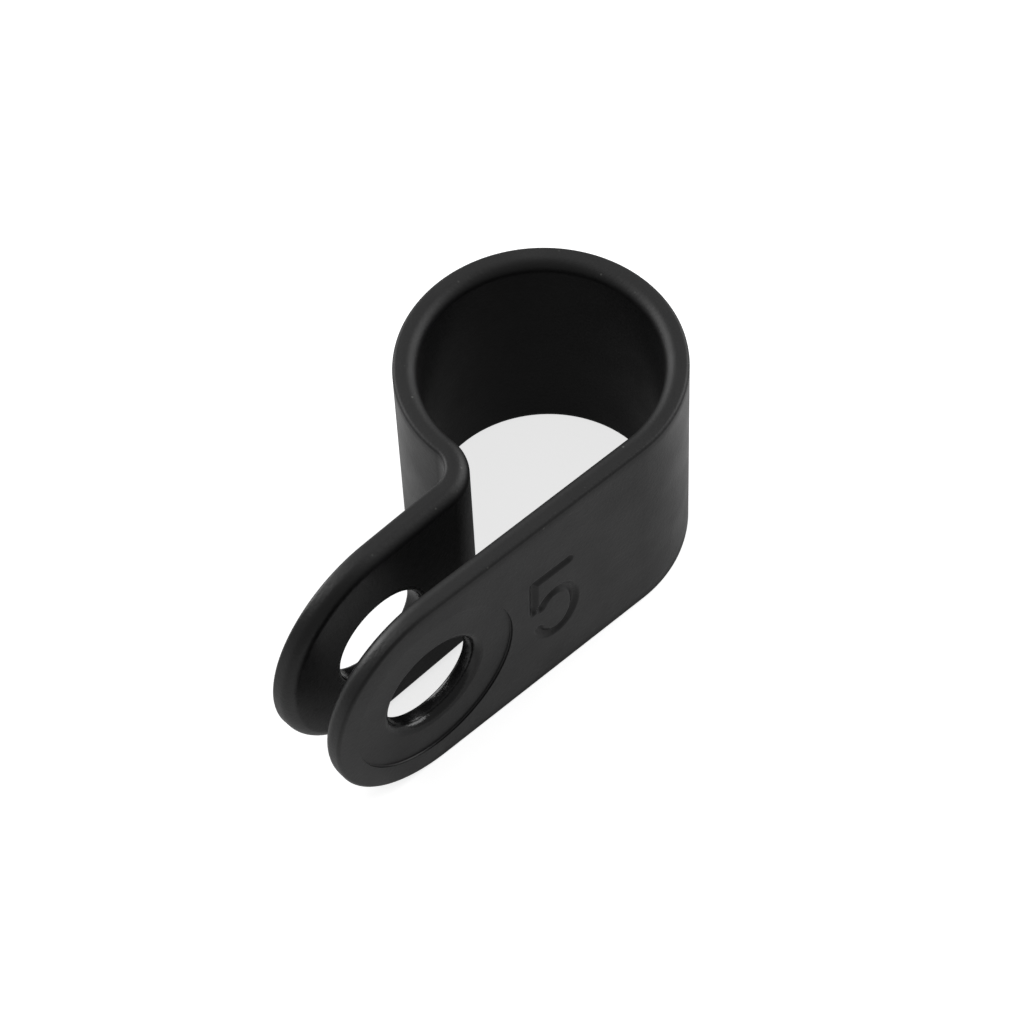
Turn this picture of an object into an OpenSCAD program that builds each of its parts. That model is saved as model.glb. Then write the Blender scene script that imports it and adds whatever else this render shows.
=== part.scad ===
// P-clip: a one-piece moulded cable clamp.
// One strip of constant section is bent into an almost closed loop. Its two ends come together
// as round-ended tabs, one above the other, which a single screw draws together.
// The clip is set down on the edge of its strip: the loop's axis is the Z axis, z = 0 is the
// edge it stands on, the tabs reach towards -X and the flat tab's outer face looks towards -Y.

/* [Strip] */
// Width of the strip, which is the height of the clip as it stands on its edge
strip_w = 10; // [9:0.5:12]
// Thickness of the strip
strip_t = 0.95; // [0.9:0.05:1.3]
// Rounding of the two edges on the outer side of the strip
outer_edge_r = 0.15; // [0.05:0.05:0.25]
// Rounding of the two edges on the cable side of the strip
cable_edge_r = 0.5; // [0.1:0.05:0.6]

/* [Loop] */
// Inner diameter of the closed loop
loop_bore_d = 9.4; // [8:0.1:12]

/* [Neck] */
// Radius of the hollow side of the reverse bend between the loop and the upper tab
neck_r = 1.05; // [0.7:0.05:1.4]
// Gap between the two tabs, measured at the screw holes
tab_gap = 2.1; // [1.2:0.1:2.6]
// Angle by which the upper tab closes towards the flat tab
tab_close_deg = 2.5; // [0.5:0.1:4]

/* [Tabs] */
// Distance from the loop's axis to the screw holes
hole_reach = 10.6; // [10.2:0.1:13]
// Distance from the loop's axis to the tips of the tabs
tip_reach = 15.4; // [15.2:0.1:18]
// Diameter of the screw holes
hole_d = 4.2; // [3.2:0.1:4.6]
// Rounding of the mouth of the flat tab's hole, in the sunk seat
mouth_lip_r = 0.4; // [0.1:0.05:0.45]
// Rounding of the other edges of both holes
hole_lip_r = 0.15; // [0.05:0.05:0.25]

/* [Seat] */
// Diameter of the round seat sunk into the flat tab about its hole
seat_d = 7.7; // [6.4:0.1:8]
// Depth of the seat below the flat tab's outer face
seat_depth = 0.1; // [0.05:0.01:0.15]

/* [Hidden] */

// Smoothness of the bends, of the holes and of the small edge roundings
bend_fn = 160;
hole_fn = 96;
edge_fn = 48;

// How far cutting shapes run past the faces that they cut, and how far joined shapes overlap
over = 0.2;
// Where round the loop the upper half's ring begins, before it is cut back to the plane x = 0
ring_from_deg = 60;

loop_in_r = loop_bore_d / 2;
loop_out_r = loop_in_r + strip_t;
tab_end_r = strip_w / 2;

// The upper half of the clip is drawn square to the axes and then turned about the loop's axis
// by the closing angle. The angle's cosine is kept to six decimals, so that the turned stretch
// of the loop still meets the other one without a step.
close_cos = round(cos(tab_close_deg) * 1e6) / 1e6;
close_deg = acos(close_cos);
close_sin = sin(close_deg);

// The upper tab's cable side passes through a point tab_gap above the flat tab's, at the holes.
// turned() gives a point's place in the upper half, before that half is turned.
function turned(p) = [p[0] * close_cos + p[1] * close_sin, p[1] * close_cos - p[0] * close_sin];
gap_at = turned([-hole_reach, tab_gap - loop_in_r]);

// The neck arc and the loop touch with their outer sides, so their centres lie this far apart.
neck_reach = loop_out_r + neck_r;
// Where round the loop the neck takes over: the direction from the loop's axis to the neck's
// centre, kept to a thousandth of a degree
neck_deg = 180 - round(asin((gap_at[1] + strip_t + neck_r) / neck_reach) * 1000) / 1000;
neck_at = neck_reach * [cos(neck_deg), sin(neck_deg)];

// How far the upper tab's hole and round end lie beyond the neck's centre
upper_hole_run = neck_at[0] - gap_at[0];
upper_end_run = neck_at[0] - turned([tab_end_r - tip_reach, tab_gap - loop_in_r])[0];
flat_end_run = tip_reach - tab_end_r;

// Moves its children in two steps, a coarse and a fine one, so that no digits are lost.
module move_to(p) {
    coarse = [round(p[0] * 100) / 100, round(p[1] * 100) / 100];
    translate([coarse[0], coarse[1], 0])
        translate([p[0] - coarse[0], p[1] - coarse[1], 0]) children();
}

// One half of the strip's section, from its middle line to one edge: x runs across the width
// and y through the thickness, from the outer side at y = 0 to the cable side.
module half_section() {
    cable_x = tab_end_r - cable_edge_r;
    outer_x = tab_end_r - outer_edge_r;
    cable_y = strip_t - cable_edge_r;
    intersection() {
        square([tab_end_r, strip_t]);
        union() {
            square([cable_x, strip_t]);
            square([outer_x, cable_y]);
            translate([0, outer_edge_r]) square([tab_end_r, cable_y - outer_edge_r]);
            translate([outer_x, outer_edge_r]) circle(outer_edge_r, $fn = edge_fn);
            translate([cable_x, cable_y]) circle(cable_edge_r, $fn = 2 * edge_fn);
        }
    }
}

// The whole section, centred on the width
module strip_section() {
    half_section();
    mirror([1, 0]) half_section();
}

// A stretch of the loop's ring, its outer side outwards
module ring(from_deg, sweep_deg) {
    rotate_extrude(start = from_deg, angle = sweep_deg, $fn = bend_fn)
        translate([loop_out_r, tab_end_r]) rotate(90) strip_section();
}

// The neck's bend about the z axis, its outer side inwards
module neck_bend() {
    rotate_extrude(start = -90, angle = neck_deg - 90, $fn = bend_fn)
        translate([neck_r, tab_end_r]) rotate(-90) strip_section();
}

// One tab before it is drilled. Its outer face is y = 0, its middle line is z = 0, and it runs
// from x = 0 towards -X, with its full round end centred at x = -run.
module tab_blank(run) {
    rotate([0, -90, 0]) linear_extrude(run) strip_section();
    translate([-run, 0, 0])
        rotate([-90, 0, 0])
            rotate_extrude(start = 90, angle = 180, $fn = bend_fn) half_section();
}

// The cutter for a screw hole through a tab, from the face at y = sink to the tab's cable side,
// with the mouth rounded by mouth_r and the far edge by far_r
module hole_cutter(sink, mouth_r, far_r) {
    r = hole_d / 2;
    rotate([-90, 0, 0])
        rotate_extrude($fn = hole_fn) {
            translate([0, sink - over]) square([r, strip_t - sink + 2 * over]);
            difference() {
                translate([0, sink - over]) square([r + mouth_r, mouth_r + over]);
                translate([r + mouth_r, sink + mouth_r]) circle(mouth_r, $fn = 2 * edge_fn);
            }
            difference() {
                translate([0, strip_t - far_r]) square([r + far_r, far_r + over]);
                translate([r + far_r, strip_t - far_r]) circle(far_r, $fn = edge_fn);
            }
        }
}

// The cutter for the sunk seat about the hole, with a small hollow at the foot of its wall
module seat_cutter() {
    foot_r = seat_depth / 2;
    rotate([-90, 0, 0])
        rotate_extrude($fn = hole_fn) {
            translate([0, -over]) square([seat_d / 2, over + seat_depth - foot_r]);
            translate([0, -over]) square([seat_d / 2 - foot_r, over + seat_depth]);
            translate([seat_d / 2 - foot_r, seat_depth - foot_r]) circle(foot_r, $fn = edge_fn);
        }
}

// The flat tab leaves the loop in a straight line. The seat is sunk into its outer face.
module flat_tab() {
    translate([0, -loop_out_r, tab_end_r])
        difference() {
            tab_blank(flat_end_run);
            translate([-hole_reach, 0, 0]) {
                seat_cutter();
                hole_cutter(seat_depth, mouth_lip_r, hole_lip_r);
            }
        }
}

// The upper tab runs on from the end of the neck's bend.
module upper_tab() {
    translate([0, -neck_r, tab_end_r])
        mirror([0, 1, 0])
            difference() {
                tab_blank(upper_end_run);
                translate([-upper_hole_run, 0, 0]) hole_cutter(0, hole_lip_r, hole_lip_r);
            }
}

// The lower half of the clip: the flat tab and the right-hand half of the loop
module lower_half() {
    flat_tab();
    ring(-90, 180);
}

// The upper half: the rest of the loop, the neck and the upper tab, turned by the closing angle
// and cut off where the lower half's ring ends
module upper_half() {
    difference() {
        rotate([0, 0, close_deg]) {
            ring(ring_from_deg, neck_deg - ring_from_deg);
            move_to(neck_at) {
                neck_bend();
                upper_tab();
            }
        }
        translate([0, 0, -over])
            cube([loop_out_r + over, loop_out_r + over, strip_w + 2 * over]);
    }
}

// The whole clip is one moulding.
module clip() {
    color("#262626") {
        lower_half();
        upper_half();
    }
}

clip();
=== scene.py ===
# %% [markdown]
# # A moulded nylon P-clip
# A P-clip holds a cable against a panel. It is one strip of black nylon: a flat tab with a screw
# hole, a round loop for the cable, a small neck that turns outwards, and a second tab that closes
# over the first. One screw through both tabs clamps the cable.
#
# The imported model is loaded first. It fixes the frame, the size and the place of everything.

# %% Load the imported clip
import math

import bmesh
import bpy
from mathutils import Matrix, Vector


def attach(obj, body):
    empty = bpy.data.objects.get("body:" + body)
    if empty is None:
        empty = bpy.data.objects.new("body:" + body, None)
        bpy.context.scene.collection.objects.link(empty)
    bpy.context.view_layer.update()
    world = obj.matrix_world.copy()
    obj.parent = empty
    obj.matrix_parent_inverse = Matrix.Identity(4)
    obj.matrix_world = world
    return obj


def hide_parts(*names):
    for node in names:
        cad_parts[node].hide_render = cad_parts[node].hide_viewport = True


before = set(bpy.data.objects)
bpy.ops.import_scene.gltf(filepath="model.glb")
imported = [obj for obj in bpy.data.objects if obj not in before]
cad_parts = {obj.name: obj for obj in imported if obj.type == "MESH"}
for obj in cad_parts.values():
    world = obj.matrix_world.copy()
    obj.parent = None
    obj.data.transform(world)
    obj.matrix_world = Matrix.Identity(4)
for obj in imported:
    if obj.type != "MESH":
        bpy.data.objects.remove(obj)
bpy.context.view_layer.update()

# %% [markdown]
# ## Sizes
# Every size below is in millimetres, and the same one that the solid model has. The strip stands
# on its side edge: Z runs along the cable, X and Y lie in the plane of the "P".
#
# The clip is modelled at one Blender unit to the millimetre and shrunk to metres at the end,
# because bevels and booleans are more exact on shapes that aren't tiny.

# %% Sizes of the strip, loop, neck and tabs
MM = 0.001
STRIP_W, STRIP_T = 10.0, 0.95
OUTER_EDGE_R, CABLE_EDGE_R = 0.15, 0.5
LOOP_IN_R = 4.7
LOOP_OUT_R = LOOP_IN_R + STRIP_T
NECK_R = 1.05
TAB_GAP, TAB_CLOSE = 2.1, math.radians(2.5)
HOLE_REACH, TIP_REACH = 10.6, 15.4
HOLE_R, MOUTH_LIP_R, HOLE_LIP_R = 2.1, 0.4, 0.15
SEAT_R, SEAT_DEPTH = 3.85, 0.1
TAB_END_R = STRIP_W / 2
MID = STRIP_W / 2                      # height of the strip's centre line
ALONG = Vector((0, 0, 1))              # the cable's direction


def turned(x, y):
    """A point of the open upper tab, after the tab has been turned shut about the loop's axis."""
    return Vector((x * math.cos(TAB_CLOSE) - y * math.sin(TAB_CLOSE),
                   x * math.sin(TAB_CLOSE) + y * math.cos(TAB_CLOSE), 0))


# Over the flat tab's hole the gap is TAB_GAP. Turned back open, that point gives the tab's level.
gap_y = (TAB_GAP - LOOP_IN_R) * math.cos(TAB_CLOSE) + HOLE_REACH * math.sin(TAB_CLOSE)
gap_x = -HOLE_REACH * math.cos(TAB_CLOSE) + (TAB_GAP - LOOP_IN_R) * math.sin(TAB_CLOSE)
tip_x = ((TAB_END_R - TIP_REACH) * math.cos(TAB_CLOSE)
         + (TAB_GAP - LOOP_IN_R) * math.sin(TAB_CLOSE))
neck_reach = LOOP_OUT_R + NECK_R
neck_turn = math.pi - math.asin((gap_y + STRIP_T + NECK_R) / neck_reach)
neck_open = neck_reach * Vector((math.cos(neck_turn), math.sin(neck_turn), 0))
neck_at = turned(neck_open.x, neck_open.y)
upper_way = turned(-1, 0)              # the way the upper tab runs
upper_out = turned(0, 1)               # away from the flat tab
upper_hole = turned(gap_x, gap_y)      # on the face towards the flat tab
upper_end = turned(tip_x, gap_y)
print("neck centre", neck_at[:2], "hole in the upper tab", upper_hole[:2])

# %% [markdown]
# ## Small helpers
# Operators work on what is selected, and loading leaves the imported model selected. So everything
# is deselected before a primitive is added, and faces are then picked in code, by their place.

# %% Helpers for picking and cutting


def start_alone():
    """Leaves edit mode and deselects everything."""
    if bpy.context.mode != "OBJECT":
        bpy.ops.object.mode_set(mode="OBJECT")
    bpy.ops.object.select_all(action="DESELECT")


def choose(obj, test, what="FACE"):
    """In edit mode, selects only the faces, edges or vertices whose centre passes the test."""
    bpy.ops.mesh.select_mode(type=what)
    bpy.ops.mesh.select_all(action="DESELECT")
    bm = bmesh.from_edit_mesh(obj.data)
    if what == "FACE":
        chosen = [f for f in bm.faces if test(f.calc_center_median(), f)]
    elif what == "EDGE":
        chosen = [e for e in bm.edges if test((e.verts[0].co + e.verts[1].co) / 2, e)]
    else:
        chosen = [v for v in bm.verts if test(v.co, v)]
    for item in chosen:
        item.select_set(True)
    bm.select_flush_mode()
    bmesh.update_edit_mesh(obj.data)
    return len(chosen)


def cut(body, tool, operation):
    """Joins or cuts body with tool, then throws the tool away."""
    start_alone()
    bpy.context.view_layer.objects.active = body
    body.select_set(True)
    bpy.ops.object.modifier_add(type="BOOLEAN")
    step = body.modifiers[-1]
    step.object, step.operation, step.solver = tool, operation, "EXACT"
    bpy.ops.object.modifier_apply(modifier=step.name)
    bpy.data.objects.remove(tool)


def shell_state(obj):
    """Counts the edges that don't join two faces, and measures the volume inside."""
    bm = bmesh.new()
    bm.from_mesh(obj.data)
    open_edges = sum(1 for e in bm.edges if len(e.link_faces) != 2)
    volume = bm.calc_volume()
    bm.free()
    return open_edges, volume


# %% [markdown]
# ## The strip's section
# All along its length the strip has one section: crisp edges outside and full, rounded edges on
# the side that touches the cable, so that the cable isn't scuffed. A curve with a profile could
# be swept along the clip, but its corners would drift at the neck. A plane with its four corners
# bevelled, spun and extruded like the real strip, keeps the section exact.

# %% Draw the section at the bottom of the loop
EDGE_STEPS, CABLE_EDGE_STEPS = 5, 10
NEAR, TINY = 1e-3, 1e-4                # how close counts as on a face, and as the same point
mid_y = -LOOP_OUT_R + STRIP_T / 2
section_at = (0, mid_y, MID)
start_alone()
bpy.ops.mesh.primitive_plane_add(size=1, rotation=(0, math.pi / 2, 0), location=section_at)
clip = bpy.context.object
clip.name = clip.data.name = "clip_strip"
bpy.ops.object.transform_apply(location=True, rotation=True, scale=True)
bpy.ops.object.mode_set(mode="EDIT")
bpy.ops.transform.resize(value=(1, STRIP_T, STRIP_W), center_override=section_at)
choose(clip, lambda p, v: p.y < mid_y, "VERT")
bpy.ops.mesh.bevel(offset=OUTER_EDGE_R, segments=EDGE_STEPS, affect="VERTICES")
choose(clip, lambda p, v: p.y > -LOOP_IN_R - TINY, "VERT")
bpy.ops.mesh.bevel(offset=CABLE_EDGE_R, segments=CABLE_EDGE_STEPS, affect="VERTICES")
bpy.ops.mesh.select_all(action="SELECT")
bpy.ops.mesh.bisect(plane_co=(0, 0, MID), plane_no=ALONG)
print("points in the section:", len(bmesh.from_edit_mesh(clip.data).verts))

# %% [markdown]
# ## Loop, neck and tabs
# Spin turns the section round the cable, then back round the neck. After each step the end of
# the strip stays selected, so the next one carries on from it. Straight runs are plain extrudes.
# With no window, spin turns the other way, so the loop's angle is negative.

# %% Spin the loop and the neck, and run out the upper tab
LOOP_STEPS, NECK_STEPS, END_STEPS = 200, 44, 64
bpy.ops.mesh.select_mode(type="FACE")
bpy.ops.mesh.select_all(action="SELECT")
loop_turn = neck_turn + TAB_CLOSE + math.pi / 2
bpy.ops.mesh.spin(steps=LOOP_STEPS, angle=-loop_turn, center=(0, 0, 0), axis=ALONG)
bpy.ops.mesh.spin(steps=NECK_STEPS, angle=neck_turn - math.pi / 2, center=neck_at, axis=ALONG)
upper_run = (upper_end - neck_at).dot(upper_way)
bpy.ops.mesh.extrude_region_move(TRANSFORM_OT_translate={"value": upper_way * upper_run})
print("loop turns, degrees:", round(math.degrees(loop_turn), 2), "upper tab runs, mm:", round(upper_run, 3))

# %% [markdown]
# The round end of a tab is the same section again, spun half a turn about the end's own centre.
# Only half of the section is spun, so that it meets the other half at the far side.

# %% Round the ends of both tabs
END_ON = 0.9                           # how square to the strip an end face has to be
FLAT_OUT = Vector((0, -1, 0))          # out of the flat tab's outer face
FLAT_WAY = Vector((-1, 0, 0))          # the way the flat tab runs


def round_end(centre, outwards, way):
    """Spins half of the strip's end face round the tab's end, and closes the seam."""
    def on_end(p, f):
        return abs((p - centre).dot(way)) < NEAR and abs(f.normal.dot(way)) > END_ON

    choose(clip, lambda p, f: on_end(p, f) and p.z > MID)
    bpy.ops.mesh.spin(steps=END_STEPS, angle=-math.pi if outwards.y < 0 else math.pi,
                      center=Vector((centre.x, centre.y, MID)), axis=outwards)
    bpy.ops.mesh.delete(type="FACE")
    choose(clip, lambda p, f: on_end(p, f) and p.z < MID)
    bpy.ops.mesh.delete(type="FACE")
    bpy.ops.mesh.select_all(action="SELECT")
    bpy.ops.mesh.remove_doubles(threshold=TINY)
    bpy.ops.mesh.delete_loose()


round_end(upper_end, upper_out, upper_way)
FIELD = (-6.1, -3.2)                   # where the moulded numeral stands on the flat tab
choose(clip, lambda p, f: abs(p.x) < TINY and p.y < 0 and abs(f.normal.x) > END_ON)
for step_x in (FIELD[1], FIELD[0] - FIELD[1], -TIP_REACH + TAB_END_R - FIELD[0]):
    bpy.ops.mesh.extrude_region_move(TRANSFORM_OT_translate={"value": (step_x, 0, 0)})
flat_end = Vector((TAB_END_R - TIP_REACH, -LOOP_OUT_R, 0))
round_end(flat_end, FLAT_OUT, FLAT_WAY)
bpy.ops.mesh.select_all(action="SELECT")
bpy.ops.mesh.normals_make_consistent(inside=False)
bpy.ops.object.mode_set(mode="OBJECT")
print("open edges and volume of the bare strip:", shell_state(clip))

# %% [markdown]
# ## Sunk seat and holes
# A shallow round seat is sunk into the flat tab about its hole. The holes have a soft lip where
# a screw enters and a small one on the far side. Each cutter is one profile spun about the
# hole's axis, flared out where it leaves the nylon, so that the lip is cut with the hole.

# %% Tools that cut round the screw's axis
LIP_STEPS, MOUTH_STEPS, HOLE_STEPS, SEAT_STEPS = 6, 12, 128, 160
PAST = 1                               # how far a tool stands out of the nylon
LIFT = 0.002                           # lets a flare cross the face instead of just touching it
TOOL_MERGE = 1e-5


def lathe(profile, base, axis, steps):
    """A closed solid: the (radius, height) profile spun about axis, which starts at base."""
    start_alone()
    side = ALONG.cross(axis).normalized()
    mesh = bpy.data.meshes.new("turned_tool")
    points = [base + axis * h + side * r for r, h in profile]
    mesh.from_pydata(points, [(i, i + 1) for i in range(len(points) - 1)], [])
    tool = bpy.data.objects.new("turned_tool", mesh)
    bpy.context.collection.objects.link(tool)
    bpy.context.view_layer.objects.active = tool
    tool.select_set(True)
    bpy.ops.object.mode_set(mode="EDIT")
    bpy.ops.mesh.select_all(action="SELECT")
    bpy.ops.mesh.spin(steps=steps, angle=2 * math.pi, center=base, axis=axis)
    bpy.ops.mesh.select_all(action="SELECT")
    bpy.ops.mesh.remove_doubles(threshold=TOOL_MERGE)
    bpy.ops.mesh.normals_make_consistent(inside=False)
    bpy.ops.object.mode_set(mode="OBJECT")
    return tool


def corner(r, h, radius, from_deg, to_deg, steps):
    """Points of an arc in a (radius, height) profile."""
    turn = [math.radians(from_deg + (to_deg - from_deg) * i / steps) for i in range(steps + 1)]
    return [(r + radius * math.cos(a), h + radius * math.sin(a)) for a in turn]


def hole_tool(base, axis, sink, near_lip, far_lip):
    """Cuts a hole: base is on the tab's face, axis points out of it, sink is the seat's depth."""
    near = -sink - near_lip + LIFT
    far = -STRIP_T + far_lip - LIFT
    profile = ([(0, -STRIP_T - PAST), (HOLE_R + far_lip, -STRIP_T - PAST)]
               + corner(HOLE_R + far_lip, far, far_lip, 270, 180, LIP_STEPS)
               + corner(HOLE_R + near_lip, near, near_lip, 180, 90, MOUTH_STEPS)
               + [(HOLE_R + near_lip, PAST), (0, PAST)])
    return lathe(profile, base, axis, HOLE_STEPS)


# %% Cut the seat and both holes
seat_at = Vector((-HOLE_REACH, -LOOP_OUT_R, MID))
foot = SEAT_DEPTH / 2                  # radius where the seat's floor meets its wall
seat = lathe([(0, -SEAT_DEPTH)]
             + corner(SEAT_R - foot, foot - SEAT_DEPTH, foot, 270, 360, LIP_STEPS)
             + [(SEAT_R, PAST), (0, PAST)], seat_at, FLAT_OUT, SEAT_STEPS)
cut(clip, seat, "DIFFERENCE")
cut(clip, hole_tool(seat_at, FLAT_OUT, SEAT_DEPTH, MOUTH_LIP_R, HOLE_LIP_R), "DIFFERENCE")
upper_face = upper_hole + upper_out * STRIP_T + ALONG * MID
cut(clip, hole_tool(upper_face, upper_out, 0, HOLE_LIP_R, HOLE_LIP_R), "DIFFERENCE")
print("open edges and volume with seat and holes:", shell_state(clip))

# %% [markdown]
# ## The sunk numeral
# The mould leaves a plain size number, a 5, sunk into the flat tab. A text object would bring a
# printed letter shape. Here two square fields of the face are inset and subdivided finely, and
# their points are pressed in under a pen path, as a rounded engraving tool would do it.

# %% The pen and its path
PEN_R, PEN_DEPTH, PEN_LIP = 0.19, 0.15, 0.06
BAR = [(-3.84, 6.62), (-5.62, 6.64), (-5.66, 4.92)]
BOWL_AT, BOWL_RX, BOWL_RZ = (-4.56, 3.97), 0.95, 1.29
bowl = [(BOWL_AT[0] + BOWL_RX * math.cos(math.radians(a)),
         BOWL_AT[1] + BOWL_RZ * math.sin(math.radians(a)))
        for a in range(140, -161, -6)]
pen_paths = [BAR, [(-5.3, 4.8)] + bowl]


def pen_distance(x, z):
    """How far a point of the face is from the nearest stroke of the pen."""
    best = math.inf
    for path in pen_paths:
        for (ax, az), (bx, bz) in zip(path, path[1:]):
            ux, uz = bx - ax, bz - az
            t = max(0.0, min(1.0, ((x - ax) * ux + (z - az) * uz) / (ux * ux + uz * uz)))
            best = min(best, math.hypot(x - ax - t * ux, z - az - t * uz))
    return best


def pen_depth(d):
    """Depth of the groove at distance d from the pen's path: a round floor and a soft lip."""
    t = max(0.0, min(1.0, (PEN_R + PEN_LIP - d) / (PEN_R + PEN_LIP)))
    return PEN_DEPTH * (t * t * (3 - 2 * t)) ** 0.75


# %% Lay out the fields and press the numeral into them
FIELD_RIM, FIELD_CUTS, FACE_ON = 0.03, 80, 0.99


def in_field(p, f):
    """Is this face part of the flat tab's outer face, along the numeral's stretch?"""
    return (FIELD[0] < p.x < FIELD[1] and abs(p.y + LOOP_OUT_R) < NEAR
            and abs(f.normal.y) > FACE_ON)


start_alone()
bpy.context.view_layer.objects.active = clip
clip.select_set(True)
bpy.ops.object.mode_set(mode="EDIT")
field_side = FIELD[1] - FIELD[0]
for level in (MID + field_side, MID - field_side):
    choose(clip, in_field)
    bpy.ops.mesh.bisect(plane_co=(0, 0, level), plane_no=ALONG)
count = choose(clip, lambda p, f: in_field(p, f) and abs(p.z - MID) < field_side)
print("square fields for the numeral:", count)
bpy.ops.mesh.inset(thickness=FIELD_RIM)
bpy.ops.mesh.subdivide(number_cuts=FIELD_CUTS)
bm = bmesh.from_edit_mesh(clip.data)
pressed = 0
for v in bm.verts:
    if abs(v.co.y + LOOP_OUT_R) < NEAR and FIELD[0] < v.co.x < FIELD[1]:
        depth = pen_depth(pen_distance(v.co.x, v.co.z))
        if depth > 0:
            v.co.y += depth
            pressed += 1
bmesh.update_edit_mesh(clip.data)
bpy.ops.object.mode_set(mode="OBJECT")
print("points pressed in:", pressed, "open edges:", shell_state(clip))

# %% [markdown]
# ## Shading and size
# The clip shrinks to metres, and its faces shade smoothly. Weighted normals keep the wide flat
# faces flat right up to their rounded edges.

# %% Shrink, smooth and hand the strip to the frame
SMOOTH_UP_TO = math.radians(32)
start_alone()
bpy.context.view_layer.objects.active = clip
clip.select_set(True)
clip.scale = (MM, MM, MM)
bpy.ops.object.transform_apply(location=True, rotation=True, scale=True)
bpy.ops.object.shade_smooth_by_angle(angle=SMOOTH_UP_TO)
bpy.ops.object.modifier_add(type="WEIGHTED_NORMAL")
clip.modifiers[-1].keep_sharp = True
bpy.ops.object.modifier_apply(modifier=clip.modifiers[-1].name)
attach(clip, "root")
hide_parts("clip")
clip.data.calc_loop_triangles()
print("triangles:", len(clip.data.loop_triangles))

# %% [markdown]
# ## Black nylon
# Moulded nylon is nearly black, with a fine grain from the mould and slow waves where it shrank.
# Pale specks on the side edges are painted glints: small highlights put into the colour. The grain
# could be an image, but noise on Object coordinates runs over every bend without a seam. A node
# group makes the skin once: it gives a height for the bump, a change in roughness and a mask of specks.

# %% Helpers for shader nodes


def node(tree, kind, **values):
    """Adds a node. A value that names an input sets it, and any other sets a property."""
    n = tree.nodes.new(kind)
    for key, value in values.items():
        if key in n.inputs:
            n.inputs[key].default_value = value
        else:
            setattr(n, key, value)
    return n


def mapped(tree, source, low, high, to_low=0.0, to_high=1.0):
    """Maps the range from low to high onto the one from to_low to to_high, clamped."""
    step = node(tree, "ShaderNodeMapRange")
    for name, value in (("From Min", low), ("From Max", high),
                        ("To Min", to_low), ("To Max", to_high)):
        step.inputs[name].default_value = value
    tree.links.new(source, step.inputs["Value"])
    return step.outputs["Result"]


def combined(tree, operation, *values):
    """One math step. Each value is another node's output or a plain number."""
    step = node(tree, "ShaderNodeMath", operation=operation)
    for socket, value in zip(step.inputs, values):
        if isinstance(value, float):
            socket.default_value = value
        else:
            tree.links.new(value, socket)
    return step.outputs["Value"]


# %% Inputs and outputs of the moulded skin
SCALES = {"Grain Scale": 7000.0, "Wave Scale": 500.0, "Speck Scale": 2600.0}   # per metre
skin = bpy.data.node_groups.new("moulded_skin", "ShaderNodeTree")
skin.interface.new_socket("Place", in_out="INPUT", socket_type="NodeSocketVector")
for name, scale in SCALES.items():
    socket = skin.interface.new_socket(name, in_out="INPUT", socket_type="NodeSocketFloat")
    socket.default_value = scale
for name in ("Height", "Unevenness", "Specks"):
    skin.interface.new_socket(name, in_out="OUTPUT", socket_type="NodeSocketFloat")
skin_in, skin_out = node(skin, "NodeGroupInput"), node(skin, "NodeGroupOutput")
print("sockets of the skin:", [item.name for item in skin.interface.items_tree])

# %% Grain and waves of the skin
WAVE_SHARE = 0.35                      # how strong the slow waves are beside the fine grain
fine = node(skin, "ShaderNodeTexNoise", Detail=4.0, Roughness=0.6)
waves = node(skin, "ShaderNodeTexNoise", Detail=2.0)
dots = node(skin, "ShaderNodeTexVoronoi")
for texture, scale in ((fine, "Grain Scale"), (waves, "Wave Scale"), (dots, "Speck Scale")):
    skin.links.new(skin_in.outputs["Place"], texture.inputs["Vector"])
    skin.links.new(skin_in.outputs[scale], texture.inputs["Scale"])
slow = combined(skin, "MULTIPLY", waves.outputs["Fac"], WAVE_SHARE)
height = combined(skin, "ADD", slow, fine.outputs["Fac"])
skin.links.new(height, skin_out.inputs["Height"])
skin.links.new(waves.outputs["Fac"], skin_out.inputs["Unevenness"])

# %% Specks of the skin
# A speck is the middle of a Voronoi cell. Only the cells with a high random red have one.
SPECK_EDGE, SPECK_CORE = 0.16, 0.04
RED_NONE, RED_FULL = 0.80, 0.95
random_colour = node(skin, "ShaderNodeSeparateColor")
skin.links.new(dots.outputs["Color"], random_colour.inputs["Color"])
in_speck = mapped(skin, dots.outputs["Distance"], SPECK_EDGE, SPECK_CORE)
has_speck = mapped(skin, random_colour.outputs["Red"], RED_NONE, RED_FULL)
skin.links.new(combined(skin, "MULTIPLY", in_speck, has_speck), skin_out.inputs["Specks"])
print("nodes in the skin:", len(skin.nodes))

# %% [markdown]
# The pins that form the holes are polished, and the strip's side edges come out rougher. So the
# roughness follows the place. Each face could have its own material, but that leaves a hard line.
# Two soft masks don't: one from the height along Z, and one from the distance to the screw's axis.

# %% Start the nylon
nylon = bpy.data.materials.new("black_moulded_nylon")
nylon.use_nodes = True
tree = nylon.node_tree
shader = tree.nodes["Principled BSDF"]
shader.inputs["IOR"].default_value = 1.5
shader.inputs["Specular IOR Level"].default_value = 0.42
place = node(tree, "ShaderNodeTexCoord").outputs["Object"]
finish = node(tree, "ShaderNodeGroup", node_tree=skin)
tree.links.new(place, finish.inputs["Place"])

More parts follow.
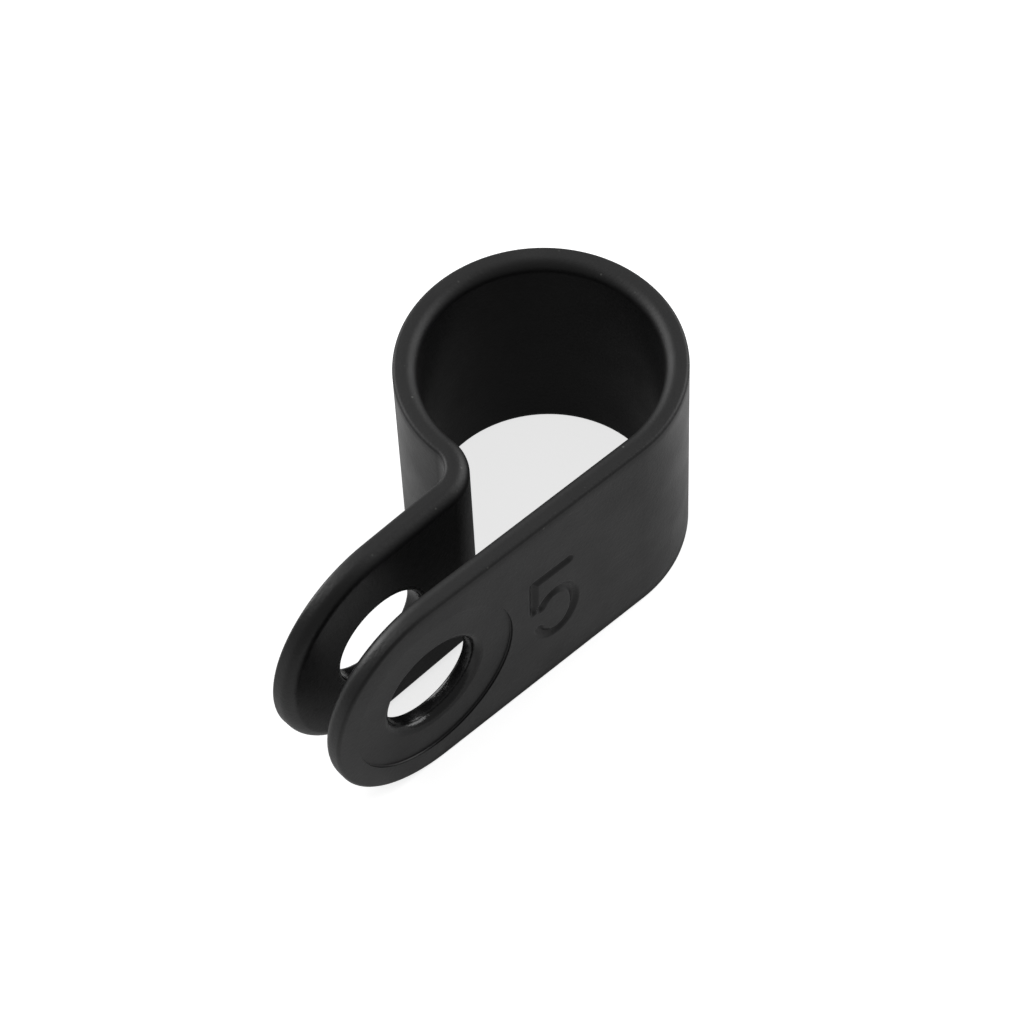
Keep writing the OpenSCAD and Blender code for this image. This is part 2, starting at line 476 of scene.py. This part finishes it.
# %% Masks of the side edges and the holes
EDGE_FROM, EDGE_FULL = 0.55, 0.1       # in from the side edge
POLISH_FULL, POLISH_END = 0.12, 0.32   # out from the hole's wall
axes = node(tree, "ShaderNodeSeparateXYZ")
tree.links.new(place, axes.inputs["Vector"])
from_mid = combined(tree, "ABSOLUTE", combined(tree, "SUBTRACT", axes.outputs["Z"], MID * MM))
edge_mask = mapped(tree, from_mid, (MID - EDGE_FROM) * MM, (MID - EDGE_FULL) * MM)
along_x = combined(tree, "ADD", axes.outputs["X"], HOLE_REACH * MM)
squares = combined(tree, "ADD", combined(tree, "POWER", along_x, 2.0),
                   combined(tree, "POWER", from_mid, 2.0))
hole_mask = mapped(tree, combined(tree, "SQRT", squares),
                   (HOLE_R + POLISH_FULL) * MM, (HOLE_R + POLISH_END) * MM, 1.0, 0.0)

# %% Roughness, colour and bump
FACE_ROUGH, EDGE_ROUGH, POLISH = 0.37, 0.55, 0.22
BLACK, GLINT_GREY = (0.0045, 0.0045, 0.0047, 1), (0.09, 0.09, 0.085, 1)
uneven = mapped(tree, finish.outputs["Unevenness"], 0.3, 0.7, -0.04, 0.05)
matte = combined(tree, "ADD", mapped(tree, edge_mask, 0.0, 1.0, FACE_ROUGH, EDGE_ROUGH), uneven)
polished = combined(tree, "ADD", matte, combined(tree, "MULTIPLY", hole_mask, -POLISH))
tree.links.new(polished, shader.inputs["Roughness"])
# The pale specks on the side edges are painted glints: a light grey in the base colour that stands in for
# small highlights.
tint = node(tree, "ShaderNodeMix", data_type="RGBA")
tint.inputs[6].default_value, tint.inputs[7].default_value = BLACK, GLINT_GREY     # its colours A and B
tree.links.new(combined(tree, "MULTIPLY", finish.outputs["Specks"], edge_mask), tint.inputs[0])
tree.links.new(tint.outputs[2], shader.inputs["Base Color"])
bump = node(tree, "ShaderNodeBump", Strength=0.35, Distance=0.03 * MM)
tree.links.new(finish.outputs["Height"], bump.inputs["Height"])
tree.links.new(bump.outputs["Normal"], shader.inputs["Normal"])
clip.data.materials.clear()
clip.data.materials.append(nylon)
print("nodes in the nylon:", len(tree.nodes))

# %% [markdown]
# ## Floor and light
# The clip stands on its side edge on pale paper in a white tent. Paper bright enough to look
# white by its colour alone would also light the nylon. So it is a mid grey that glows for the
# rays that see it, which keeps the soft shadow. In reflections it glows a tenth as much, because
# real paper is dark close under a black part, and a full glow would turn the nylon grey.

# %% Floor
PAPER, GLOW, GLOW_REFLECTED = (0.6, 0.6, 0.6, 1), 0.75, 0.1
start_alone()
bpy.ops.mesh.primitive_plane_add(size=1.2, location=(0, 0, 0))
floor = bpy.context.object
floor.name = "floor"
paper = bpy.data.materials.new("white_paper")
paper.use_nodes = True
paper_tree = paper.node_tree
paper_shader = paper_tree.nodes["Principled BSDF"]
paper_shader.inputs["Base Color"].default_value = PAPER
paper_shader.inputs["Roughness"].default_value = 0.9
paper_shader.inputs["Specular IOR Level"].default_value = 0.0
paper_shader.inputs["Emission Color"].default_value = (1, 1, 1, 1)
rays = node(paper_tree, "ShaderNodeLightPath")
reflected = combined(paper_tree, "MULTIPLY", rays.outputs["Is Glossy Ray"], GLOW_REFLECTED)
seen = combined(paper_tree, "MAXIMUM", rays.outputs["Is Camera Ray"], reflected)
seen = combined(paper_tree, "MAXIMUM", seen, rays.outputs["Is Transmission Ray"])
paper_tree.links.new(combined(paper_tree, "MULTIPLY", seen, GLOW),
                     paper_shader.inputs["Emission Strength"])
floor.data.materials.append(paper)
print("floor, m:", tuple(floor.dimensions))

# %% World and lamps
world = bpy.context.scene.world or bpy.data.worlds.new("tent")
bpy.context.scene.world = world
world.use_nodes = True
sky = world.node_tree.nodes["Background"]
sky.inputs["Color"].default_value = (1, 1, 1, 1)
sky.inputs["Strength"].default_value = 0.3


def soft_lamp(name, at, size, power):
    """A round area lamp that looks at the clip."""
    bpy.ops.object.light_add(type="AREA", location=at)
    lamp = bpy.context.object
    lamp.name = name
    lamp.data.shape = "DISK"
    lamp.data.size = size
    lamp.data.energy = power
    lamp.rotation_euler = (-Vector(at)).to_track_quat("-Z", "Y").to_euler()
    print(name, "at", at, "power", power)


soft_lamp("back_box", (-0.10, 0.36, 0.22), 0.36, 1.6)
soft_lamp("right_box", (0.36, -0.05, 0.22), 0.36, 1.3)

# %% [markdown]
# ## Camera
# A small part is pictured from some way off through a long lens, which keeps its sides nearly
# parallel. A constraint could point the camera at the clip, but not with the slight roll. So the
# camera's own three directions are worked out from its angles and put together as a rotation.

# %% Camera
VIEW_AZ, VIEW_EL, VIEW_ROLL = (math.radians(a) for a in (50.386, 54.918, -3.085))
LENS_MM, SENSOR_MM, DISTANCE = 137.0804, 36, 150.0
AIM, AIM_RIGHT, AIM_UP = Vector((-5, 0, 5)), 2.466, 0.010
look = Vector((math.cos(VIEW_AZ) * math.cos(VIEW_EL),
               math.sin(VIEW_AZ) * math.cos(VIEW_EL),
               -math.sin(VIEW_EL)))
level = Vector((math.sin(VIEW_AZ), -math.cos(VIEW_AZ), 0))
upright = level.cross(look)
right = math.cos(VIEW_ROLL) * level + math.sin(VIEW_ROLL) * upright
up = math.cos(VIEW_ROLL) * upright - math.sin(VIEW_ROLL) * level
eye = AIM - look * DISTANCE + right * AIM_RIGHT + up * AIM_UP
turn = Matrix((right, up, -look)).transposed()
bpy.ops.object.camera_add(location=eye * MM, rotation=turn.to_euler())
camera = bpy.context.object
camera.data.sensor_width = SENSOR_MM
camera.data.lens = LENS_MM
camera.data.clip_start, camera.data.clip_end = 0.01, 10
bpy.context.scene.camera = camera
bpy.context.scene.view_settings.view_transform = "Standard"
print("camera at, mm:", [round(v, 1) for v in eye])
